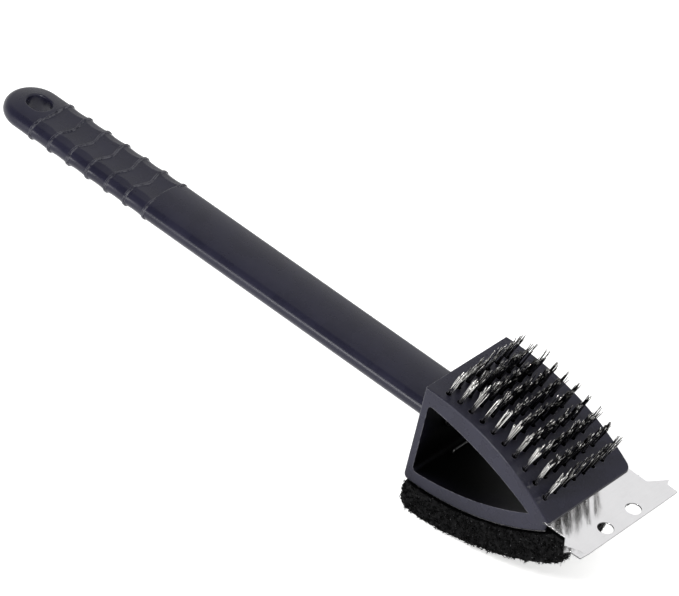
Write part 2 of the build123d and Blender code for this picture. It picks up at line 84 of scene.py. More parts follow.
class Graph:
    """Adds nodes to one node tree and links them."""

    def __init__(self, tree: NodeTree) -> None:
        """Takes the tree to add to."""
        self.tree = tree

    def fill(self, node: Node, inputs: dict[Any, Any]) -> None:
        """Sets a node's inputs, and links those that are given a socket.

        Args:
            node: The node.
            inputs: Input name or index to a value or a socket.
        """
        for name, value in inputs.items():
            if isinstance(value, NodeSocket):
                self.tree.links.new(value, node.inputs[name])
            else:
                node.inputs[name].default_value = value

    def node(self, kind: str, inputs: dict[Any, Any] | None = None, **settings: Any) -> Node:
        """Adds one node.

        Args:
            kind: The node's type name.
            inputs: Input name or index to a value, or to a socket to link.
            **settings: Properties of the node itself.

        Returns:
            The new node.
        """
        made = self.tree.nodes.new(kind)
        for name, value in settings.items():
            setattr(made, name, value)
        self.fill(made, inputs or {})
        return made

    def group(self, tree: NodeTree, inputs: dict[str, float]) -> Node:
        """Places a node group."""
        return self.node("ShaderNodeGroup", inputs, node_tree=tree)

    def place(self) -> NodeSocket:
        """Returns the point on the surface in the object's own coordinates."""
        return self.node("ShaderNodeTexCoord").outputs["Object"]

    def facing(self) -> NodeSocket:
        """Returns the surface's own normal."""
        return self.node("ShaderNodeNewGeometry").outputs["Normal"]

    def axis(self, vector: Any, name: str) -> NodeSocket:
        """Returns one coordinate of a vector."""
        return self.node("ShaderNodeSeparateXYZ", {0: vector}).outputs[name]

    def compare(self, operation: str, first: Any, second: Any) -> NodeSocket:
        """Returns the number that one vector operation gives."""
        return self.node("ShaderNodeVectorMath", {0: first, 1: second}, operation=operation).outputs["Value"]

    def stretched(self, vector: Any, scale: Sequence[float]) -> NodeSocket:
        """Scales coordinates unevenly, which draws a pattern out along an axis."""
        return self.node("ShaderNodeMapping", {"Vector": vector, "Scale": scale}).outputs["Vector"]

    def noise(self, vector: Any, scale: Any, detail: float, rough: float = 0.55) -> NodeSocket:
        """Returns fractal noise, about 0.3 to 0.7, of the given scale in cycles a metre."""
        inputs = {"Vector": vector, "Scale": scale, "Detail": detail, "Roughness": rough}
        return self.node("ShaderNodeTexNoise", inputs).outputs["Fac"]

    def cells(self, vector: Any, scale: Any) -> NodeSocket:
        """Returns the distance to the nearest of scattered points."""
        return self.node("ShaderNodeTexVoronoi", {"Vector": vector, "Scale": scale}).outputs["Distance"]

    def math(self, operation: str, first: Any, second: Any = 0.0) -> NodeSocket:
        """Returns the result of one arithmetic step."""
        return self.node("ShaderNodeMath", {0: first, 1: second}, operation=operation).outputs[0]

    def times(self, first: Any, second: Any) -> NodeSocket:
        """Returns the product of two numbers or sockets."""
        return self.math("MULTIPLY", first, second)

    def plus(self, first: Any, second: Any) -> NodeSocket:
        """Returns the sum of two numbers or sockets."""
        return self.math("ADD", first, second)

    def ranged(self, value: Any, reads: Sequence[Any], gives: Pair = (0.0, 1.0)) -> NodeSocket:
        """Maps a range smoothly onto another, held at its ends."""
        inputs = dict(zip(("Value", "From Min", "From Max", "To Min", "To Max"), (value, *reads, *gives)))
        return self.node("ShaderNodeMapRange", inputs, interpolation_type="SMOOTHSTEP").outputs["Result"]

    def blend(self, mask: Any, first: Any, second: Any) -> NodeSocket:
        """Mixes two colours."""
        inputs = {0: mask, 6: colour(first), 7: colour(second)}
        return self.node("ShaderNodeMix", inputs, data_type="RGBA").outputs[2]

    def bump(self, height: Any, strength: float, depth: float, normal: Any = None) -> NodeSocket:
        """Turns a height into a normal.

        Args:
            height: 0 to 1.
            strength: 0 to 1.
            depth: Height of 1, in metres.
            normal: The normal to start from, or None.

        Returns:
            The bumped normal.
        """
        inputs = {"Height": height, "Strength": strength, "Distance": depth}
        if normal is not None:
            inputs["Normal"] = normal
        return self.node("ShaderNodeBump", inputs).outputs["Normal"]


def colour(value: Any) -> Any:
    """Returns a colour of three numbers with its fourth, and anything else as it is."""
    return (*value, 1.0) if isinstance(value, tuple) and len(value) == 3 else value


@dataclass
class GroupMaker:
    """Starts a shader node group with named sockets."""

    name: str
    inputs: dict[str, float]
    outputs: dict[str, str]
    tree: NodeTree = field(init=False)
    graph: Graph = field(init=False)
    start: Node = field(init=False)
    end: Node = field(init=False)

    def __post_init__(self) -> None:
        """Makes the tree, its sockets and its two end nodes."""
        self.tree = bpy.data.node_groups.new(self.name, "ShaderNodeTree")
        for name, value in self.inputs.items():
            socket = self.tree.interface.new_socket(name, in_out="INPUT", socket_type="NodeSocketFloat")
            socket.default_value = value
        for name, kind in self.outputs.items():
            self.tree.interface.new_socket(name, in_out="OUTPUT", socket_type=kind)
        self.graph = Graph(self.tree)
        self.start = self.graph.node("NodeGroupInput")
        self.end = self.graph.node("NodeGroupOutput")

    def given(self, name: str) -> NodeSocket:
        """Returns one of the group's inputs."""
        return self.start.outputs[name]

    def give(self, name: str, value: NodeSocket) -> None:
        """Links one of the group's outputs."""
        self.graph.fill(self.end, {name: value})


@dataclass(frozen=True)
class SharedEffects:
    """Node groups that several finishes use."""

    grain: NodeTree
    wear: NodeTree
    dust: NodeTree
    shelter: NodeTree

    PIT_SCALE: ClassVar[float] = 0.55
    PIT_SHARE: ClassVar[float] = 0.3
    BLOTCHES: ClassVar[Pair] = (0.32, 0.68)
    EDGE_TURN: ClassVar[Pair] = (0.005, 0.07)
    BREAKUP: ClassVar[Pair] = (0.36, 0.56)
    LEVEL: ClassVar[Pair] = (0.1, 0.9)
    SPECK: ClassVar[Pair] = (0.16, 0.06)
    PATCH_SCALE: ClassVar[float] = 90.0
    PATCHES: ClassVar[Pair] = (0.48, 0.62)
    HAZE_SCALE: ClassVar[float] = 240.0
    HAZE: ClassVar[float] = 0.25

    @classmethod
    def make(cls) -> "SharedEffects":
        """Builds the groups once."""
        return cls(cls.make_grain(), cls.make_edge_mark(), cls.make_dust(), cls.make_occlusion_shade())

    @classmethod
    def make_grain(cls) -> NodeTree:
        """Builds the fine grain of a moulded or rolled surface, with broad blotches.

        Returns:
            The group.
        """
        outputs = {"Height": "NodeSocketFloat", "Blotch": "NodeSocketFloat"}
        maker = GroupMaker("surface_grain", {"Scale": 2600.0, "Blotch Scale": 60.0}, outputs)
        graph = maker.graph
        place = graph.place()
        fine = graph.noise(place, maker.given("Scale"), 2.0, 0.6)
        pits = graph.cells(place, graph.times(maker.given("Scale"), cls.PIT_SCALE))
        broad = graph.noise(place, maker.given("Blotch Scale"), 4.0, 0.6)
        fine = graph.times(fine, 1.0 - cls.PIT_SHARE)
        maker.give("Height", graph.plus(fine, graph.times(pits, cls.PIT_SHARE)))
        maker.give("Blotch", graph.ranged(broad, cls.BLOTCHES))
        return maker.tree

    @classmethod
    def make_edge_mark(cls) -> NodeTree:
        """Builds a mask that follows sharp edges unevenly, and a softened normal; it marks worn edges, and
        on the plastic also a painted highlight.

        Returns:
            The group.
        """
        outputs = {"Wear": "NodeSocketFloat", "Normal": "NodeSocketVector"}
        maker = GroupMaker("edge_wear", {"Radius": 0.0004, "Breakup Scale": 420.0}, outputs)
        graph = maker.graph
        bevel = graph.node("ShaderNodeBevel", {"Radius": maker.given("Radius")}, samples=6)
        softened = bevel.outputs["Normal"]
        turned = graph.math("SUBTRACT", 1.0, graph.compare("DOT_PRODUCT", softened, graph.facing()))
        uneven = graph.noise(graph.place(), maker.given("Breakup Scale"), 3.0, 0.7)
        edge = graph.ranged(turned, cls.EDGE_TURN)
        maker.give("Wear", graph.times(edge, graph.ranged(uneven, cls.BREAKUP)))
        maker.give("Normal", softened)
        return maker.tree

    @classmethod
    def make_dust(cls) -> NodeTree:
        """Builds dust that settles in specks on what faces up.

        Returns:
            The group.
        """
        inputs = {"Speck Scale": 900.0, "Amount": 0.2}
        maker = GroupMaker("settled_dust", inputs, {"Dust": "NodeSocketFloat"})
        graph = maker.graph
        upward = graph.ranged(graph.axis(graph.facing(), "Z"), cls.LEVEL)
        place = graph.place()
        speck = graph.ranged(graph.cells(place, maker.given("Speck Scale")), cls.SPECK)
        patch = graph.ranged(graph.noise(place, cls.PATCH_SCALE, 3.0), cls.PATCHES)
        haze = graph.times(graph.noise(place, cls.HAZE_SCALE, 5.0, 0.7), cls.HAZE)
        settled = graph.times(graph.plus(graph.times(speck, patch), haze), upward)
        maker.give("Dust", graph.times(settled, maker.given("Amount")))
        return maker.tree

    @classmethod
    def make_occlusion_shade(cls) -> NodeTree:
        """Builds the painted-shade mask: places that nearby surfaces occlude.

        Returns:
            The group.
        """
        inputs = {"Reach": 0.03, "Open": 0.7, "Closed": 0.3}
        maker = GroupMaker("sheltered", inputs, {"Deep": "NodeSocketFloat"})
        graph = maker.graph
        reach = graph.node("ShaderNodeAmbientOcclusion", {"Distance": maker.given("Reach")}, samples=8)
        maker.give("Deep", graph.ranged(reach.outputs["AO"], (maker.given("Open"), maker.given("Closed"))))
        return maker.tree


class Surface(Graph):
    """A material's graph, with its grain placed and the shared effects at hand."""

    def __init__(self, tree: NodeTree, shared: SharedEffects, grain: Pair, gloss: Pair) -> None:
        """Places the grain.

        Args:
            tree: The material's node tree.
            shared: The shared node groups.
            grain: Scales of the fine grain and of the blotches.
            gloss: Roughness outside the blotches and inside them.
        """
        super().__init__(tree)
        self.shared = shared
        placed = self.group(shared.grain, {"Scale": grain[0], "Blotch Scale": grain[1]})
        self.blotch, self.relief = placed.outputs["Blotch"], placed.outputs["Height"]
        self.rough = self.ranged(self.blotch, (0.0, 1.0), gloss)

    def wear(self, radius: float, scale: float) -> tuple[NodeSocket, NodeSocket]:
        """Returns the uneven mask of sharp edges and the softened normal, for an edge radius and a breakup
        scale.
        """
        placed = self.group(self.shared.wear, {"Radius": radius, "Breakup Scale": scale})
        return placed.outputs["Wear"], placed.outputs["Normal"]

    def deep(self, reach: float, fringe: Pair) -> NodeSocket:
        """Returns the painted-shade mask of occluded places, for a reach and the openness where it starts
        and is full.
        """
        inputs = {"Reach": reach, "Open": fringe[0], "Closed": fringe[1]}
        return self.group(self.shared.shelter, inputs).outputs["Deep"]

    def tone(self) -> NodeSocket:
        """Returns the tone that the mesh gives each strand."""
        return self.node("ShaderNodeAttribute", attribute_name="tone").outputs["Fac"]


@dataclass(frozen=True)
class Finish:
    """A finish: one material, whose sockets each kind of finish fills in."""

    name: str = "finish"
    grain: Pair = (2600.0, 60.0)
    gloss: Pair = (0.4, 0.5)

    def make(self, shared: SharedEffects) -> Material:
        """Builds the material.

        Args:
            shared: The shared node groups.

        Returns:
            The material.
        """
        material = bpy.data.materials.new(self.name)
        material.use_nodes = True
        material.node_tree.nodes.clear()
        surface = Surface(material.node_tree, shared, self.grain, self.gloss)
        shader = surface.node("ShaderNodeBsdfPrincipled")
        surface.node("ShaderNodeOutputMaterial", {"Surface": shader.outputs["BSDF"]})
        surface.fill(shader, self.sockets(surface))
        return material

    def sockets(self, surface: Surface) -> dict[str, Any]:
        """Returns the shader's socket names with what they take."""
        return {"Roughness": surface.rough}


@dataclass(frozen=True)
class MouldedPlastic(Finish):
    """Satin charcoal plastic with a fine moulded grain and slightly worn edges that also carry a painted
    highlight, and painted shade that darkens the head's hollow and takes away its reflections.
    """

    name: str = "charcoal_plastic"
    grain: Pair = (2400.0, 55.0)
    gloss: Pair = (0.25, 0.31)
    base: Colour = (0.0078, 0.0076, 0.0175)
    blotch: Colour = (0.0108, 0.0105, 0.0230)
    # lighter edge colour: partly worn edges, partly a painted highlight along the creases
    worn: Colour = (0.10, 0.10, 0.115)
    dusty: Colour = (0.26, 0.25, 0.25)
    # near-black colour of the painted shade in the head's hollow
    deep: Colour = (0.0006, 0.0006, 0.0006)
    crown_centre: Triple = (0.11250, 0.0, -0.06186)
    crown_radius: float = 0.14328
    skin: Pair = (1.0 * MM, 2.5 * MM)
    outer_share: float = 0.35
    fade: float = 2.0 * MM
    # roughness added under the painted shade, so the hollow shows no reflections
    painted_shade_rough: float = 0.3

    def hollow(self, surface: Surface) -> NodeSocket:
        """Builds the painted-shade mask of the head's hollow: occluded places, fewer outside its crowned
        skin.

        Args:
            surface: The material's surface.

        Returns:
            The mask.
        """
        shelter = surface.deep(0.06, (0.86, 0.46))
        flat = surface.stretched(surface.place(), (1.0, 0.0, 1.0))
        apart = surface.compare("DISTANCE", flat, self.crown_centre)
        reads = tuple(self.crown_radius - depth for depth in self.skin)
        inner = surface.ranged(apart, reads, (self.outer_share, 1.0))
        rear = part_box("head_shell")[0].x
        ahead = surface.ranged(surface.axis(surface.place(), "X"), (rear, rear + self.fade))
        return surface.times(shelter, surface.times(inner, ahead))

    def sockets(self, surface: Surface) -> dict[str, Any]:
        """Works out what the shader's sockets take.

        Args:
            surface: The material's surface.

        Returns:
            Socket name to value or socket.
        """
        wear, softened = surface.wear(0.0008, 300.0)
        dust = surface.group(surface.shared.dust, {"Speck Scale": 950.0, "Amount": 0.1})
        hollow = self.hollow(surface)
        shade = surface.blend(surface.blotch, self.base, self.blotch)
        # lightened edges: partly worn, partly a painted highlight
        shade = surface.blend(wear, shade, self.worn)
        shade = surface.blend(dust.outputs["Dust"], shade, self.dusty)
        return {
            # painted shade: the hollow is painted near-black, metallic and rough, so it looks unlit
            "Base Color": surface.blend(hollow, shade, self.deep),
            "Metallic": hollow,
            "Roughness": surface.plus(surface.rough, surface.times(hollow, self.painted_shade_rough)),
            "Specular IOR Level": 0.25,
            "Normal": surface.bump(surface.relief, 0.22, 0.00006, softened),
        }


@dataclass(frozen=True)
class WireSteel(Finish):
    """Drawn steel wire: each wire has its own tone, partly random and partly a painted reflection, with
    painted shade darkening it towards its root.
    """

    name: str = "wire_steel"
    grain: Pair = (3600.0, 420.0)
    gloss: Pair = (0.1, 0.2)
    # ends of each wire's tone, which is partly random and partly a painted reflection
    bright: Colour = (0.97, 0.96, 0.93)
    dull_and_unlit: Colour = (0.07, 0.068, 0.066)
    # dark colour for stains, and for the painted shade at the wire roots
    stain_and_shade: Colour = (0.012, 0.0115, 0.011)
    stained: float = 0.2
    # share of painted shade at the wire roots, where the tuft occludes them
    root_painted_shade: float = 0.95

    def sockets(self, surface: Surface) -> dict[str, Any]:
        """Works out what the shader's sockets take.

        Args:
            surface: The material's surface.

        Returns:
            Socket name to value or socket.
        """
        deep = surface.deep(0.014, (0.62, 0.28))
        # each wire's tone: partly random, partly a painted reflection, brightest where the wire would mirror
        # the bright floor
        shade = surface.blend(surface.tone(), self.dull_and_unlit, self.bright)
        shade = surface.blend(surface.times(surface.blotch, self.stained), shade, self.stain_and_shade)
        # painted shade: wires darker towards their roots
        shade = surface.blend(surface.times(deep, self.root_painted_shade), shade, self.stain_and_shade)
        return {
            "Base Color": shade,
            "Metallic": 1.0,
            "Roughness": surface.rough,
            "Normal": surface.bump(surface.relief, 0.1, 0.00002),
        }


@dataclass(frozen=True)
class BladeSteel(Finish):
    """Bright rolled stainless sheet: fine rolling lines, faint scratches and smudges, dark sheared edges."""

    name: str = "blade_steel"
    grain: Pair = (3000.0, 95.0)
    gloss: Pair = (0.08, 0.14)
    bright: Colour = (0.83, 0.825, 0.835)
    line: Colour = (0.79, 0.785, 0.795)
    smudge: Colour = (0.74, 0.735, 0.745)
    edge: Colour = (0.92, 0.92, 0.92)
    sheared: Colour = (0.07, 0.07, 0.07)
    smudged: float = 0.28
    rolling: Triple = (7000.0, 90.0, 7000.0)
    scratching: Triple = (60.0, 4200.0, 60.0)
    scratches: Pair = (0.68, 0.76)
    upright: Pair = (0.5, 0.2)

    def sockets(self, surface: Surface) -> dict[str, Any]:
        """Works out what the shader's sockets take.

        Args:
            surface: The material's surface.

        Returns:
            Socket name to value or socket.
        """
        place = surface.place()
        rolled = surface.noise(surface.stretched(place, self.rolling), 1.0, 2.0, 0.5)
        scratch = surface.noise(surface.stretched(place, self.scratching), 1.0, 1.0, 0.4)
        scratch = surface.ranged(scratch, self.scratches)
        wear, softened = surface.wear(0.0002, 600.0)
        cut = surface.ranged(surface.math("ABSOLUTE", surface.axis(surface.facing(), "Z")), self.upright)
        shade = surface.blend(surface.ranged(rolled, (0.35, 0.65)), self.line, self.bright)
        shade = surface.blend(surface.times(surface.blotch, self.smudged), shade, self.smudge)
        shade = surface.blend(wear, shade, self.edge)
        rough = surface.plus(surface.rough, surface.times(scratch, 0.1))
        height = surface.plus(surface.times(rolled, 0.6), surface.times(scratch, -0.4))
        return {
            "Base Color": surface.blend(cut, shade, self.sheared),
            "Metallic": 1.0,
            "Roughness": surface.plus(rough, surface.times(cut, 0.3)),
            "Normal": surface.bump(height, 0.1, 0.00002, softened),
        }


@dataclass(frozen=True)
class PlatedSteel(Finish):
    """Dull zinc plating with a crystalline bloom and bright rubbed edges, darkened by painted shade where
    nearby parts occlude it.
    """

    name: str = "plated_steel"
    grain: Pair = (1800.0, 700.0)
    gloss: Pair = (0.28, 0.42)
    plate: Colour = (0.50, 0.50, 0.49)
    bloom: Colour = (0.36, 0.36, 0.35)
    rubbed: Colour = (0.72, 0.72, 0.70)
    shaded: Colour = (0.05, 0.05, 0.05)

    def sockets(self, surface: Surface) -> dict[str, Any]:
        """Works out what the shader's sockets take.

        Args:
            surface: The material's surface.

        Returns:
            Socket name to value or socket.
        """
        wear, softened = surface.wear(0.00025, 900.0)
        deep = surface.deep(0.06, (0.8, 0.3))
        shade = surface.blend(surface.blotch, self.plate, self.bloom)
        shade = surface.blend(wear, shade, self.rubbed)
        return {
            # painted shade where nearby parts occlude the plating
            "Base Color": surface.blend(deep, shade, self.shaded),
            "Metallic": 1.0,
            "Roughness": surface.rough,
            "Normal": surface.bump(surface.relief, 0.2, 0.00003, softened),
        }


@dataclass(frozen=True)
class HotMelt(Finish):
    """Milky hot-melt adhesive with a waxy skin."""

    name: str = "hot_melt"
    grain: Pair = (1500.0, 350.0)
    gloss: Pair = (0.22, 0.4)
    milky: Colour = (0.16, 0.155, 0.16)
    clear: Colour = (0.05, 0.05, 0.055)
    scatter: Triple = (1.0 * MM, 1.0 * MM, 1.0 * MM)

    def sockets(self, surface: Surface) -> dict[str, Any]:
        """Works out what the shader's sockets take.

        Args:
            surface: The material's surface.

        Returns:
            Socket name to value or socket.
        """
        return {
            "Base Color": surface.blend(surface.blotch, self.milky, self.clear),
            "Roughness": surface.rough,
            "Subsurface Weight": 0.25,
            "Subsurface Radius": self.scatter,
            "Normal": surface.bump(surface.relief, 0.25, 0.0001),
        }


@dataclass(frozen=True)
class ScouringFibre(Finish):
    """Black abrasive web: resin-coated fibres with grit that glints, and painted shade in the crevices
    between them.
    """

    name: str = "scouring_fibre"
    grain: Pair = (2200.0, 500.0)
    gloss: Pair = (0.34, 0.6)
    fibre: Colour = (0.0008, 0.0008, 0.0010)
    grey: Colour = (0.006, 0.006, 0.0068)
    grit: Colour = (0.42, 0.42, 0.43)
    # colour of the painted shade in the crevices between fibres
    crevice_shade: Colour = (0.0004, 0.0004, 0.0004)
    grit_scale: float = 1300.0
    grit_size: Pair = (0.24, 0.12)
    grit_share: float = 0.9
    grey_share: float = 0.3

    def sockets(self, surface: Surface) -> dict[str, Any]:
        """Works out what the shader's sockets take.

        Args:
            surface: The material's surface.

        Returns:
            Socket name to value or socket.
        """
        grit = surface.ranged(surface.cells(surface.place(), self.grit_scale), self.grit_size)
        deep = surface.deep(0.002, (0.9, 0.45))
        shade = surface.blend(surface.times(surface.blotch, self.grey_share), self.fibre, self.grey)
        glint = surface.times(surface.tone(), self.grit_share)
        shade = surface.blend(surface.times(grit, glint), shade, self.grit)
        return {
            # painted shade in the web's crevices
            "Base Color": surface.blend(deep, shade, self.crevice_shade),
            "Roughness": surface.rough,
            "Specular IOR Level": 0.05,
            "Coat Weight": surface.times(grit, 0.4),
            "Normal": surface.bump(surface.relief, 0.5, 0.00015),
        }


@dataclass(frozen=True)
class FloorPaint(Finish):
    """Plain pale floor."""

    name: str = "pale_floor"
    grain: Pair = (300.0, 3.0)
    gloss: Pair = (0.9, 0.9)
    pale: Colour = (0.93, 0.93, 0.925)
    paler: Colour = (0.95, 0.95, 0.945)
    glow: Colour = (1.0, 1.0, 0.99)

    def sockets(self, surface: Surface) -> dict[str, Any]:
        """Works out what the shader's sockets take.

        Args:
            surface: The material's surface.

        Returns:
            Socket name to value or socket.
        """
        return {
            "Base Color": surface.blend(surface.blotch, self.pale, self.paler),
            "Roughness": surface.rough,
            "Specular IOR Level": 0.1,
            "Emission Color": colour(self.glow),
            "Emission Strength": 0.5,
        }


# ---- mesh helpers


def link(name: str, mesh: ID) -> Object:
    """Puts a mesh or a curve into the scene.

    Args:
        name: The object's name.
        mesh: Its data.

    Returns:
        The object.
    """
    made = bpy.data.objects.new(name, mesh)
    bpy.context.scene.collection.objects.link(made)
    return made


def settle(piece: Object, name: str) -> Object:
    """Replaces a piece with a plain mesh of what its modifiers or its curve give.

    Args:
        piece: The piece, which is removed.
        name: The new piece's name.

    Returns:
        The new piece.
    """
    graph = bpy.context.evaluated_depsgraph_get()
    mesh = bpy.data.meshes.new_from_object(piece.evaluated_get(graph))
    place = piece.matrix_world.copy()
    bpy.data.objects.remove(piece)
    made = link(name, mesh)
    made.matrix_world = place
    return made


def dress(piece: Object, material: Material) -> None:
    """Gives a new piece its finish and lets it ride with the brush.

    Args:
        piece: The piece.
        material: Its finish.
    """
    piece.data.materials.clear()
    piece.data.materials.append(material)
    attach(piece, BODY)
    log.info("%s: %d vertices", piece.name, len(piece.data.vertices))


def repaint(node: str, material: Material) -> None:
    """Gives a CAD node a better material.

    Args:
        node: The node's name.
        material: Its finish.
    """
    for holder in frame["nodes"][node].material_slots:
        holder.material = material
    log.info("%s: repainted", node)


def smooth(piece: Object) -> None:
    """Shades a piece smoothly."""
    for face in piece.data.polygons:
        face.use_smooth = True


def inside_disc(draw: random.Random, radius: float) -> Vector:
    """Draws an even random point in a disc.

    Args:
        draw: The source of random numbers.
        radius: The disc's radius.

    Returns:
        The point, with a third coordinate of 0.
    """
    angle = draw.uniform(0.0, math.tau)
    reach = radius * math.sqrt(draw.random())
    return Vector((reach * math.cos(angle), reach * math.sin(angle), 0.0))


@dataclass
class Strands:
    """Gathers many thin round strands into one mesh."""

    sides: int
    points: list[Vector] = field(default_factory=list)
    faces: list[tuple[int, ...]] = field(default_factory=list)
    tones: list[float] = field(default_factory=list)

    def add(self, route: Sequence[Vector], radii: Sequence[float], tone: float, turn: float = 0.0) -> None:
        """Adds one strand along a route.

        Args:
            route: Points along its middle.
            radii: Its radius at each point.
            tone: A number from 0 to 1 that its finish reads.
            turn: How far the section is turned, in radians.
        """
        first = len(self.points)
        along = (route[1] - route[0]).normalized()
        across = along.orthogonal().normalized()
        across.rotate(Quaternion(along, turn))
        for step, (point, radius) in enumerate(zip(route, radii)):
            ahead = route[min(step + 1, len(route) - 1)] - route[max(step - 1, 0)]
            ahead.normalize()
            across.rotate(along.rotation_difference(ahead))
            along = ahead
            third = along.cross(across)
            for side in range(self.sides):
                angle = math.tau * side / self.sides
                self.points.append(point + (across * math.cos(angle) + third * math.sin(angle)) * radius)
                self.tones.append(tone)
        for step in range(len(route) - 1):
            low = first + step * self.sides
            high = low + self.sides
            for side in range(self.sides):
                after = (side + 1) % self.sides
                self.faces.append((low + side, low + after, high + after, high + side))
        last = first + (len(route) - 1) * self.sides
        self.faces.append(tuple(first + side for side in reversed(range(self.sides))))
        self.faces.append(tuple(last + side for side in range(self.sides)))

    def finish(self, name: str) -> Object:
        """Makes the piece.

        Args:
            name: Its name.

        Returns:
            The piece.
        """
        mesh = bpy.data.meshes.new(name)
        mesh.from_pydata([tuple(point) for point in self.points], [], self.faces)
        tone = mesh.attributes.new("tone", "FLOAT", "POINT")
        tone.data.foreach_set("value", self.tones)
        mesh.update()
        made = link(name, mesh)
        for face in mesh.polygons:
            face.use_smooth = len(face.vertices) == 4
        return made


def rounded(corners: Sequence[Triple], steps: int = 5) -> list[Vector]:
    """Rounds the corners of a closed outline.

    Args:
        corners: x, y and the rounding radius of each corner.
        steps: Segments in each arc.

    Returns:
        The outline's points.
    """
    outline: list[Vector] = []
    count = len(corners)
    for index, (x, y, radius) in enumerate(corners):
        here = Vector((x, y))
        before = (Vector(corners[index - 1][:2]) - here).normalized()
        after = (Vector(corners[(index + 1) % count][:2]) - here).normalized()
        half = before.angle(after) / 2
        if radius <= 0:
            outline.append(here)
            continue
        run = radius / math.tan(half)
        middle = here + (before + after).normalized() * (radius / math.sin(half))
        start = here + before * run - middle
        sweep = start.angle_signed(here + after * run - middle)
        for step in range(steps + 1):
            arm = start.copy()
            arm.rotate(Matrix.Rotation(-sweep * step / steps, 2))
            outline.append(middle + arm)
    return outline


def ring(middle: Pair, radius: float, steps: int = 48) -> list[Vector]:
    """Returns a circle's points.

    Args:
        middle: Its centre.
        radius: Its radius.
        steps: How many points.

    Returns:
        The points.
    """
    turns = [math.tau * step / steps for step in range(steps)]
    x, y = middle
    return [Vector((x + radius * math.cos(turn), y + radius * math.sin(turn))) for turn in turns]


# ---- sub-assemblies


@dataclass
class Mouldings:
    """The handle and the head, whose shapes are the CAD nodes' own."""

    nodes: tuple[str, ...] = ("handle", "head_shell")

    def dress(self, plastic: Material) -> None:
        """Gives both mouldings their plastic."""
        for node in self.nodes:
            repaint(node, plastic)


@dataclass
class Fasteners:
    """Screws, washers, staples and anchors, whose shapes are the CAD nodes' own."""

    nodes: tuple[str, ...] = (
        "blade_screws", "handle_screws", "handle_washers", "pad_staples", "tuft_anchors",
    )

    def dress(self, plate: Material) -> None:
        """Gives them their plating."""
        for node in self.nodes:
            repaint(node, plate)


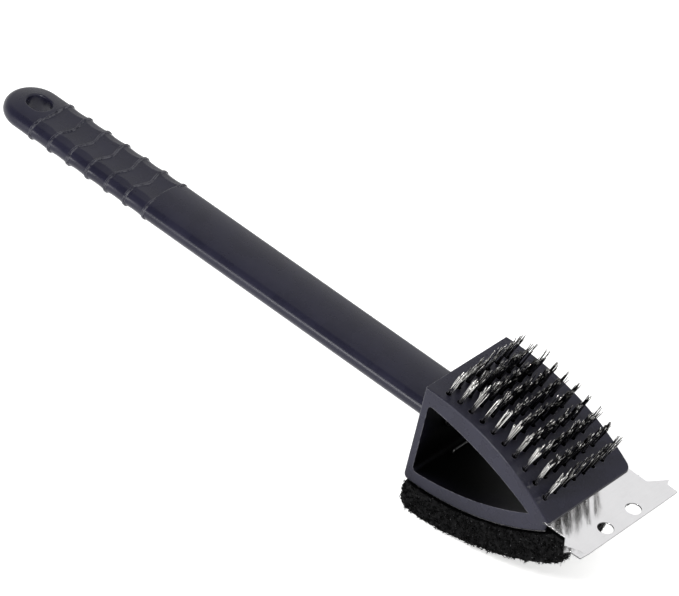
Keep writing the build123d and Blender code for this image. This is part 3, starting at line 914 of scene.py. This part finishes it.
@dataclass
class TuftField:
    """Ten rows of seven tufts, each a bundle of separate wires.

    A bundle fills its hole as far as packed, opens towards its tip as far as opened, and is held inside
    the CAD tuft. Its wires end at different heights, some bent over by use.
    """

    rows: int = 10
    columns: int = 7
    lean: float = math.radians(19.0)
    root_depth: float = 6.5 * MM
    root_radius: float = 1.55 * MM
    tip_radius: float = 2.9 * MM
    length: float = 24.5 * MM
    longest: float = 0.995
    domed: float = 0.2
    clipped: tuple[float, ...] = (0.0, 0.02, 0.07, 0.13, 0.2)
    packed: float = 0.72
    opened: float = 0.9
    stray: float = 0.3
    held: float = 0.95
    flare: float = 1.15
    sunk: float = 2.2 * MM
    kink: float = 1.8 * MM
    kink_rarity: int = 5
    kink_from: Pair = (0.45, 0.8)
    wave: float = 0.28 * MM
    wave_turns: float = 5.0
    wires: int = 12
    wire_radius: float = 0.25 * MM
    wire_steps: int = 9
    thickness_range: Pair = (0.85, 1.12)
    splay_range: Pair = (0.5, 0.9)
    brightness: Pair = (0.0, 0.14)
    tone_spread: float = 0.3
    # painted reflection added to each column's tone: brightest on the near column, where the wires would
    # mirror the bright floor
    column_painted_reflection: tuple[float, ...] = (0.58, 0.16, 0.0, 0.0, 0.0, 0.05, 0.25)
    seed: int = 41
    pieces: list[Object] = field(default_factory=list)

    def roots(self, node: str) -> list[Vector]:
        """Finds the hole mouths of one row from its node's box.

        Args:
            node: The row's node.

        Returns:
            One point for each tuft.
        """
        low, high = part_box(node)
        sine, cosine = math.sin(self.lean), math.cos(self.lean)
        x = low.x + self.root_depth * sine + self.root_radius * cosine
        z = low.z + self.root_depth * cosine + self.root_radius * sine
        first = low.y + self.tip_radius
        pitch = (high.y - low.y - 2 * self.tip_radius) / (self.columns - 1)
        return [Vector((x, first + pitch * column, z)) for column in range(self.columns)]

    def wire(self, draw: random.Random, root: Vector, splay: float) -> list[Vector]:
        """Routes one wire of a tuft.

        Args:
            draw: The source of random numbers.
            root: The middle of the tuft's hole mouth.
            splay: How far the tuft opens, 1 being its full envelope.

        Returns:
            Points along the wire's middle, from inside the hole to its tip.
        """
        along = Vector((math.sin(self.lean), 0.0, math.cos(self.lean)))
        across = Vector((0.0, 1.0, 0.0))
        third = along.cross(across)
        spot = inside_disc(draw, 1.0)
        start = spot * (self.root_radius * self.packed)
        drift = spot * (self.tip_radius * self.opened * splay)
        drift += inside_disc(draw, self.tip_radius * self.stray)
        if drift.length > self.tip_radius * self.held:
            drift *= self.tip_radius * self.held / drift.length
        long = self.length * (self.longest - self.domed * spot.length - draw.choice(self.clipped))
        bent = draw.random() ** self.kink_rarity
        bent_from = draw.uniform(*self.kink_from)
        bend = inside_disc(draw, self.kink * bent)
        wave = inside_disc(draw, self.wave)
        phase = draw.uniform(0.0, math.tau)
        route = []
        for step in range(self.wire_steps):
            share = step / (self.wire_steps - 1)
            height = -self.sunk + (long + self.sunk) * share
            opening = max(height, 0.0) / self.length
            offset = start.lerp(drift, opening**self.flare)
            offset += wave * math.sin(phase + share * self.wave_turns) * min(1.0, share * 3.0)
            offset += bend * max(0.0, share - bent_from) / (1.0 - bent_from)
            route.append(root + along * height + across * offset.x + third * offset.y)
        return route

    def build(self) -> None:
        """Makes one piece of wires for each row."""
        draw = random.Random(self.seed)
        for row in range(1, self.rows + 1):
            node = f"tuft_row_{row:02d}"
            strands = Strands(sides=6)
            for column, root in enumerate(self.roots(node)):
                splay = draw.uniform(*self.splay_range)
                # the tuft's tone: random, plus its column's painted reflection
                bright = draw.uniform(*self.brightness) + self.column_painted_reflection[column]
                for _ in range(self.wires):
                    route = self.wire(draw, root, splay)
                    radius = self.wire_radius * draw.uniform(*self.thickness_range)
                    tone = min(1.0, max(0.0, draw.gauss(bright, self.tone_spread)))
                    strands.add(route, [radius] * len(route), tone, draw.uniform(0.0, 1.0))
            piece = strands.finish(f"wires_{row:02d}")
            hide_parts(node)
            self.pieces.append(piece)

    def dress(self, steel: Material) -> None:
        """Gives the wires their steel."""
        for piece in self.pieces:
            dress(piece, steel)


@dataclass
class ScraperBlade:
    """The flat steel plate: barbed corners, two holes, rounded rims and slightly bent barbs."""

    thickness: float = 0.8 * MM
    rim: float = 0.16 * MM
    seat: float = 10.0 * MM
    tongue_half: float = 29.0 * MM
    shoulder: float = 3.0 * MM
    half_width: float = 35.2 * MM
    reach: float = 27.3 * MM
    neck: float = 11.5 * MM
    barb: Pair = (18.7 * MM, 45.6 * MM)
    notch: float = 20.2 * MM
    edge_half: float = 42.2 * MM
    notch_round: float = 0.96 * MM
    bend: float = math.radians(7.0)
    creases: tuple[tuple[Pair, Pair, float], ...] = (
        ((16.5 * MM, -39.0 * MM), (26.5 * MM, -34.0 * MM), 1.0),
        ((11.5 * MM, 36.0 * MM), (22.5 * MM, 39.0 * MM), 0.7),
    )
    folds: int = 4
    fold_pitch: float = 0.35 * MM
    on_fold: float = 0.01 * MM
    weld: float = 0.002 * MM
    piece: Object | None = None

    def outline(self, nose: float) -> list[Triple]:
        """Lists the plate's corners.

        Args:
            nose: x of the head's nose.

        Returns:
            x, y and rounding radius of each corner, in order round the plate.
        """
        half = [
            (nose - self.seat, self.tongue_half, 0.5 * MM),
            (nose - self.shoulder, self.tongue_half, 0.3 * MM),
            (nose - self.shoulder, self.half_width, 0.3 * MM),
            (nose + self.neck, self.half_width, 1.2 * MM),
            (nose + self.barb[0], self.barb[1], 0.25 * MM),
            (nose + self.notch, self.edge_half, self.notch_round),
            (nose + self.reach, self.edge_half, 0.35 * MM),
        ]
        return half + [(x, -y, radius) for x, y, radius in reversed(half)]

    def build(self) -> None:
        """Makes the plate."""
        low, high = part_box("scraper_blade")
        nose = high.x - self.reach
        mount = next(m for m in frame["record"]["mounts"] if m["name"] == "scraper_holes")
        spacing = mount["dims"]["spacing_y_mm"] * MM
        radius = mount["dims"]["hole_r_mm"] * MM
        loops = [rounded(self.outline(nose))]
        loops += [ring((mount["pos_m"][0], side * spacing / 2), radius) for side in (-1, 1)]
        curve = bpy.data.curves.new("blade_plate", "CURVE")
        curve.dimensions = "2D"
        curve.fill_mode = "BOTH"
        curve.extrude = self.thickness / 2 - self.rim
        curve.bevel_depth = self.rim
        curve.bevel_resolution = 2
        curve.offset = -self.rim
        for loop in loops:
            spline = curve.splines.new("POLY")
            spline.points.add(len(loop) - 1)
            for point, spot in zip(spline.points, loop):
                point.co = (spot.x, spot.y, 0.0, 1.0)
            spline.use_cyclic_u = True
        plate = link("blade_curve", curve)
        plate.location.z = (low.z + high.z) / 2
        bpy.context.view_layer.update()
        self.piece = settle(plate, "blade_plate")
        self.bend_barbs(nose)
        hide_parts("scraper_blade")

    def bend_barbs(self, nose: float) -> None:
        """Bends both barbs down a little along a slanting crease.

        Args:
            nose: x of the head's nose.
        """
        shape = bmesh.new()
        shape.from_mesh(self.piece.data)
        bmesh.ops.remove_doubles(shape, verts=shape.verts, dist=self.weld)
        for (start_x, start_y), (end_x, end_y), share in self.creases:
            start = Vector((nose + start_x, start_y, 0.0))
            way = (Vector((nose + end_x, end_y, 0.0)) - start).normalized()
            outward = way.cross(UP) * math.copysign(1.0, start.y * way.cross(UP).y)
            turn = math.copysign(self.bend * share / self.folds, -outward.cross(way).z)
            feet = [start + outward * (fold * self.fold_pitch) for fold in range(self.folds)]
            near = self.weld / 2
            for foot in feet:
                parts = [*shape.verts, *shape.edges, *shape.faces]
                bmesh.ops.bisect_plane(shape, geom=parts, plane_co=foot, plane_no=outward, dist=near)
            for foot in feet:
                beyond = [v for v in shape.verts if (v.co - foot).dot(outward) > self.on_fold]
                bmesh.ops.rotate(shape, verts=beyond, cent=foot, matrix=Matrix.Rotation(turn, 3, way))
        bmesh.ops.recalc_face_normals(shape, faces=shape.faces)
        shape.to_mesh(self.piece.data)
        shape.free()

    def dress(self, steel: Material) -> None:
        """Gives the blade its steel."""
        dress(self.piece, steel)


@dataclass
class ScouringPad:
    """The thick abrasive pad: an uneven body under a web of short curled fibres.

    Use has worn the body back at its far front corner. No fibre stands on what faces up.
    """

    node: str = "scouring_pad"
    voxel: float = 0.85 * MM
    roughness: float = 1.0 * MM
    lumps: tuple[Pair, ...] = ((0.32, 0.5), (0.8, 0.75))
    fibres: int = 9400
    fibre_radius: float = 0.2 * MM
    fibre_range: Pair = (0.7, 1.25)
    fibre_length: Pair = (0.9 * MM, 2.7 * MM)
    fibre_steps: int = 4
    curl_radius: Pair = (0.7 * MM, 2.2 * MM)
    lift: Pair = (0.05 * MM, 0.6 * MM)
    arched: float = 0.8
    raised: float = 0.5
    tilt_spread: float = 0.22
    most_tilt: float = 0.4
    blade_gap: float = 0.3 * MM
    nose_margin: float = 1.0 * MM
    under: float = 0.6
    sunk: float = 0.8 * MM
    worn_from: float = -1.0 * MM
    worn_over: float = 15.0 * MM
    worn_back: float = 5.0 * MM
    floor_gap: float = 0.15 * MM
    seed: int = 97
    nose: float = 0.0
    blade_under: float = 0.0
    body: Object | None = None
    web: Object | None = None

    def build(self) -> None:
        """Makes the body and its web."""
        self.build_body()
        self.build_web()
        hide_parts(self.node)

    def build_body(self) -> None:
        """Makes the body from the CAD solid, sunk in and made uneven."""
        rough = link("pad_rough", frame["nodes"][self.node].data.copy())
        remesh = rough.modifiers.new("even", "REMESH")
        remesh.mode = "VOXEL"
        remesh.voxel_size = self.voxel
        self.body = settle(rough, "pad_body")
        mesh = self.body.data
        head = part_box("head_shell")[1].x
        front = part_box(self.node)[1].x
        vertices = [(vertex.co.copy(), vertex.normal.copy()) for vertex in mesh.vertices]
        moved: list[float] = []
        for place, normal in vertices:
            grid = place * (1.0 / MM)
            lump = sum(height * noise.noise(grid * scale) for scale, height in self.lumps)
            place += normal * (self.roughness * lump - self.sunk)
            share = min(1.0, max(0.0, (place.x - head) / (front - head)))
            far = min(1.0, max(0.0, (place.y + self.worn_from) / self.worn_over))
            place.x -= self.worn_back * share * far * far * (3 - 2 * far)
            moved += (place.x, place.y, max(place.z, self.floor_gap * 2))
        mesh.vertices.foreach_set("co", moved)
        mesh.update()
        tone = mesh.attributes.new("tone", "FLOAT", "POINT")
        tone.data.foreach_set("value", [0.0] * len(mesh.vertices))
        smooth(self.body)

    def build_web(self) -> None:
        """Scatters curled fibres evenly over the body."""
        draw = random.Random(self.seed)
        self.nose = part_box("head_shell")[1].x
        self.blade_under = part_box("scraper_blade")[0].z
        mesh = self.body.data
        mesh.calc_loop_triangles()
        triangles = [t for t in mesh.loop_triangles if t.normal.z < self.under]
        chosen = draw.choices(triangles, weights=[t.area for t in triangles], k=self.fibres)
        strands = Strands(sides=3)
        for triangle in chosen:
            a, b, c = (mesh.vertices[index].co for index in triangle.vertices)
            u, v = sorted((draw.random(), draw.random()))
            foot = a * u + b * (v - u) + c * (1 - v)
            self.add_fibre(draw, strands, foot, triangle.normal.copy())
        self.web = strands.finish("pad_web")

    def add_fibre(self, draw: random.Random, strands: Strands, foot: Vector, outward: Vector) -> None:
        """Adds one curled fibre that lies on the body.

        Args:
            draw: The source of random numbers.
            strands: Where it is added.
            foot: A point on the body.
            outward: The body's normal there.
        """
        way = outward.orthogonal().normalized()
        way.rotate(Quaternion(outward, draw.uniform(0.0, math.tau)))
        side = outward.cross(way)
        length = draw.uniform(*self.fibre_length)
        curl = draw.choice((-1.0, 1.0)) / draw.uniform(*self.curl_radius)
        lift = draw.uniform(*self.lift)
        tilt = min(self.most_tilt, max(-self.most_tilt, draw.gauss(0.0, self.tilt_spread)))
        stride = length / (self.fibre_steps - 1)
        heading = 0.0
        point = foot - way * (length / 2)
        route = []
        for step in range(self.fibre_steps):
            share = step / (self.fibre_steps - 1)
            arch = math.sin(math.pi * share) * lift * self.arched + lift * self.raised
            spot = point + outward * (arch + (share - 0.5) * length * tilt)
            spot.z = max(spot.z, self.floor_gap)
            if spot.x > self.nose - self.nose_margin:
                spot.z = min(spot.z, self.blade_under - self.blade_gap)
            route.append(spot)
            heading += curl * stride
            point = point + (way * math.cos(heading) + side * math.sin(heading)) * stride
        radius = self.fibre_radius * draw.uniform(*self.fibre_range)
        strands.add(route, [radius] * self.fibre_steps, draw.random() ** 2, draw.uniform(0.0, 2.0))

    def dress(self, fibre: Material) -> None:
        """Args:
            fibre: The finish.
        """
        dress(self.body, fibre)
        dress(self.web, fibre)


@dataclass
class GlueBead:
    """A bead of hot-melt squeezed out where the blade enters the nose's near corner."""

    radius: float = 1.5 * MM
    shape: Triple = (0.75, 1.5, 0.62)
    setback: float = 0.6 * MM
    inset: float = 3.2 * MM
    sunk: float = 0.2 * MM
    lump_scale: float = 700.0
    lump_height: float = 0.28
    lump_place: Triple = (3.1, 0.0, 0.0)
    piece: Object | None = None

    def build(self) -> None:
        """Makes the bead, a flattened and lumpy ball."""
        low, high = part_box("head_shell")
        shape = bmesh.new()
        bmesh.ops.create_icosphere(shape, subdivisions=4, radius=self.radius)
        for vertex in shape.verts:
            lump = noise.fractal(vertex.co * self.lump_scale + Vector(self.lump_place), 1.0, 2.0, 3)
            vertex.co *= 1.0 + self.lump_height * lump
            vertex.co *= Vector(self.shape)
            vertex.co.z = max(vertex.co.z, -self.sunk)
        mesh = bpy.data.meshes.new("glue_bead")
        shape.to_mesh(mesh)
        shape.free()
        self.piece = link("glue_bead", mesh)
        self.piece.location = (high.x - self.setback, low.y + self.inset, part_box("scraper_blade")[1].z)
        smooth(self.piece)

    def dress(self, melt: Material) -> None:
        """Gives the bead its finish, and the layer under the head too."""
        dress(self.piece, melt)
        repaint("pad_adhesive", melt)


@dataclass
class Studio:
    """Floor, soft light and camera."""

    azimuth: float = math.radians(32.597)
    elevation: float = math.radians(38.454)
    roll: float = math.radians(13.371)
    lens: float = 236.64
    sensor: float = 36.0
    distance: float = 2.389
    clip: Pair = (0.1, 60.0)
    aim: Triple = (0.02180, -0.00456, 0.07035)
    floor_half: float = 12.0
    sky: Colour = (1.0, 1.0, 1.0)
    sky_strength: float = 0.93
    flag: Triple = (-0.42, -0.5, 0.75)
    flag_fade: Pair = (0.62, 0.93)
    flag_tone: Colour = (0.10, 0.10, 0.12)
    lamps: tuple[tuple[str, Triple, float, float], ...] = (
        ("key", (0.17, -1.12, 1.2), 0.36, 18.0),
        ("low", (-0.45, -1.25, 0.12), 0.5, 7.0),
    )

    def build_floor(self, paint: Material) -> None:
        """Makes the floor, level with the pad's lowest point.

        Args:
            paint: Its finish.
        """
        shape = bmesh.new()
        bmesh.ops.create_grid(shape, x_segments=8, y_segments=8, size=self.floor_half)
        mesh = bpy.data.meshes.new("floor")
        shape.to_mesh(mesh)
        shape.free()
        floor = link("floor", mesh)
        floor.data.materials.append(paint)

    def build_light(self) -> None:
        """Makes a bright surround with one dark flag in it, and the lamps."""
        world = bpy.data.worlds.new("studio")
        bpy.context.scene.world = world
        world.use_nodes = True
        graph = Graph(world.node_tree)
        way = graph.node("ShaderNodeTexCoord").outputs["Generated"]
        near = graph.compare("DOT_PRODUCT", way, Vector(self.flag).normalized())
        glow = graph.blend(graph.ranged(near, self.flag_fade), self.sky, self.flag_tone)
        graph.fill(world.node_tree.nodes["Background"], {"Color": glow, "Strength": self.sky_strength})
        for name, place, size, power in self.lamps:
            light = bpy.data.lights.new(name, "AREA")
            light.shape = "DISK"
            light.size = size
            light.energy = power
            lamp = link(name, light)
            lamp.location = place
            beam = Vector(self.aim) - lamp.location
            lamp.rotation_euler = beam.to_track_quat("-Z", "Y").to_euler()

    def build_camera(self) -> None:
        """Makes the camera."""
        data = bpy.data.cameras.new("camera")
        data.lens = self.lens
        data.sensor_width = self.sensor
        data.clip_start, data.clip_end = self.clip
        flat = math.cos(self.elevation)
        x, y = math.sin(self.azimuth) * flat, -math.cos(self.azimuth) * flat
        back = Vector((x, y, math.sin(self.elevation)))
        level = UP.cross(back).normalized()
        upright = back.cross(level)
        right = level * math.cos(self.roll) + upright * math.sin(self.roll)
        above = upright * math.cos(self.roll) - level * math.sin(self.roll)
        camera = link("camera", data)
        turn = Matrix((right, above, back)).transposed().to_4x4()
        camera.matrix_world = Matrix.Translation(Vector(self.aim) + back * self.distance) @ turn
        bpy.context.scene.camera = camera

    def build(self, paint: Material) -> None:
        """Makes the whole studio.

        Args:
            paint: The floor's finish.
        """
        bpy.context.scene.view_settings.view_transform = "Standard"
        self.build_floor(paint)
        self.build_light()
        self.build_camera()


def main() -> None:
    """Builds and dresses every sub-assembly in order."""
    logging.basicConfig(level=logging.INFO, format="%(name)s %(message)s")
    shared = SharedEffects.make()
    Studio().build(FloorPaint().make(shared))
    Mouldings().dress(MouldedPlastic().make(shared))
    Fasteners().dress(PlatedSteel().make(shared))
    tufts = TuftField()
    tufts.build()
    tufts.dress(WireSteel().make(shared))
    blade = ScraperBlade()
    blade.build()
    blade.dress(BladeSteel().make(shared))
    pad = ScouringPad()
    pad.build()
    pad.dress(ScouringFibre().make(shared))
    bead = GlueBead()
    bead.build()
    bead.dress(HotMelt().make(shared))


if __name__ == "__main__":
    main()
